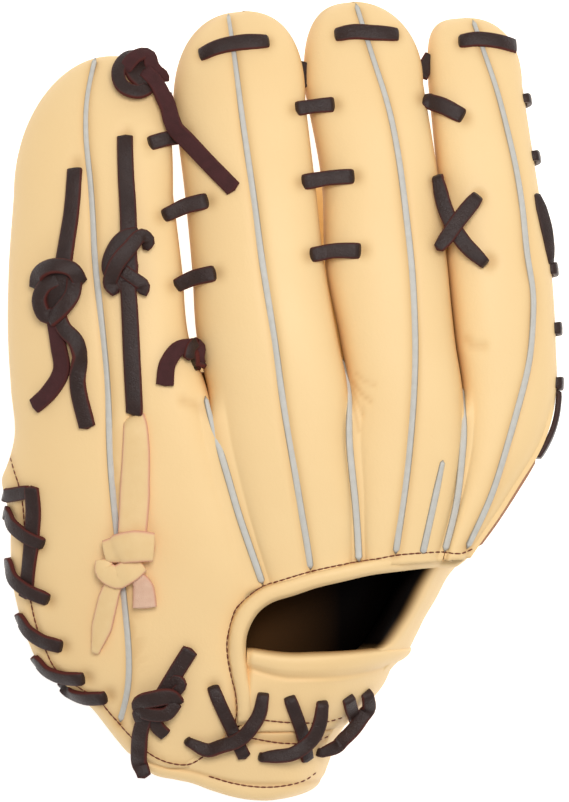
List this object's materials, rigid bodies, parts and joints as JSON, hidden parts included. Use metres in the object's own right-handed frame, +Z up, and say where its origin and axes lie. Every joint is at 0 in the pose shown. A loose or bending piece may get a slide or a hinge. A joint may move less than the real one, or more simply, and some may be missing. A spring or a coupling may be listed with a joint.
{
  "type": "softball fielder glove",
  "caption": "Leather ball glove for the left hand, closed on its thumb side, with hollow finger stalls, an open back strap and knotted lacing.",
  "frame": {"origin": "on the floor below the middle of the glove as it lies closed on its thumb side", "axes": "+Z up, out of the back of the fingers; +Y to the fingertips; +X to the index side"},
  "size_m": [0.2306, 0.3251, 0.1145],
  "materials": {
    "blond_leather": "smooth tanned, semi-matt",
    "palm_leather": "smooth tanned with raw cut edges",
    "lace": "dark oiled lace, suede on the flesh side",
    "welt": "pale split leather piping",
    "lining": "dark soft lining"
  },
  "bodies": {
    "root": {"pinky_stall": "blond_leather", "ring_stall": "blond_leather", "middle_stall": "blond_leather", "index_stall": "blond_leather", "thumb_stall": "blond_leather", "opening_binding": "blond_leather", "wrist_strap": "blond_leather", "heel_band": "blond_leather", "thumb_back": "blond_leather", "palm_shell": "palm_leather", "palm_lining": "lining", "web_panel": "blond_leather", "pinky_welt": "welt", "ring_welt": "welt", "middle_welt": "welt", "index_welt": "welt", "middle_side_seam": "welt", "pinky_ring_seam": "welt", "ring_middle_seam": "welt", "middle_index_seam": "welt", "ring_tip_lace": "lace", "middle_tip_lace": "lace", "index_tip_lace": "lace", "pinky_ring_lace_1": "lace", "pinky_ring_lace_2": "lace", "pinky_ring_lace_3": "lace", "ring_middle_lace_1": "lace", "ring_middle_lace_2": "lace", "ring_middle_lace_3": "lace", "middle_index_lace": "lace", "index_cross_lace": "lace", "pinky_knot": "lace", "middle_knot": "lace", "heel_knot": "lace", "tip_knot": "lace", "crotch_knot": "lace", "pinky_loop": "palm_leather", "edge_lace_1": "lace", "edge_lace_2": "lace", "edge_lace_3": "lace", "edge_lace_4": "lace", "edge_lace_5": "lace", "edge_lace_6": "lace", "strap_lace_1": "lace", "strap_lace_2": "lace", "strap_lace_3": "lace", "web_lace_1": "lace", "web_lace_2": "lace", "web_lace_3": "lace", "web_lace_4": "lace", "web_lace_5": "lace", "web_lace_6": "lace", "web_lace_7": "lace"}
  },
  "joints": []
}
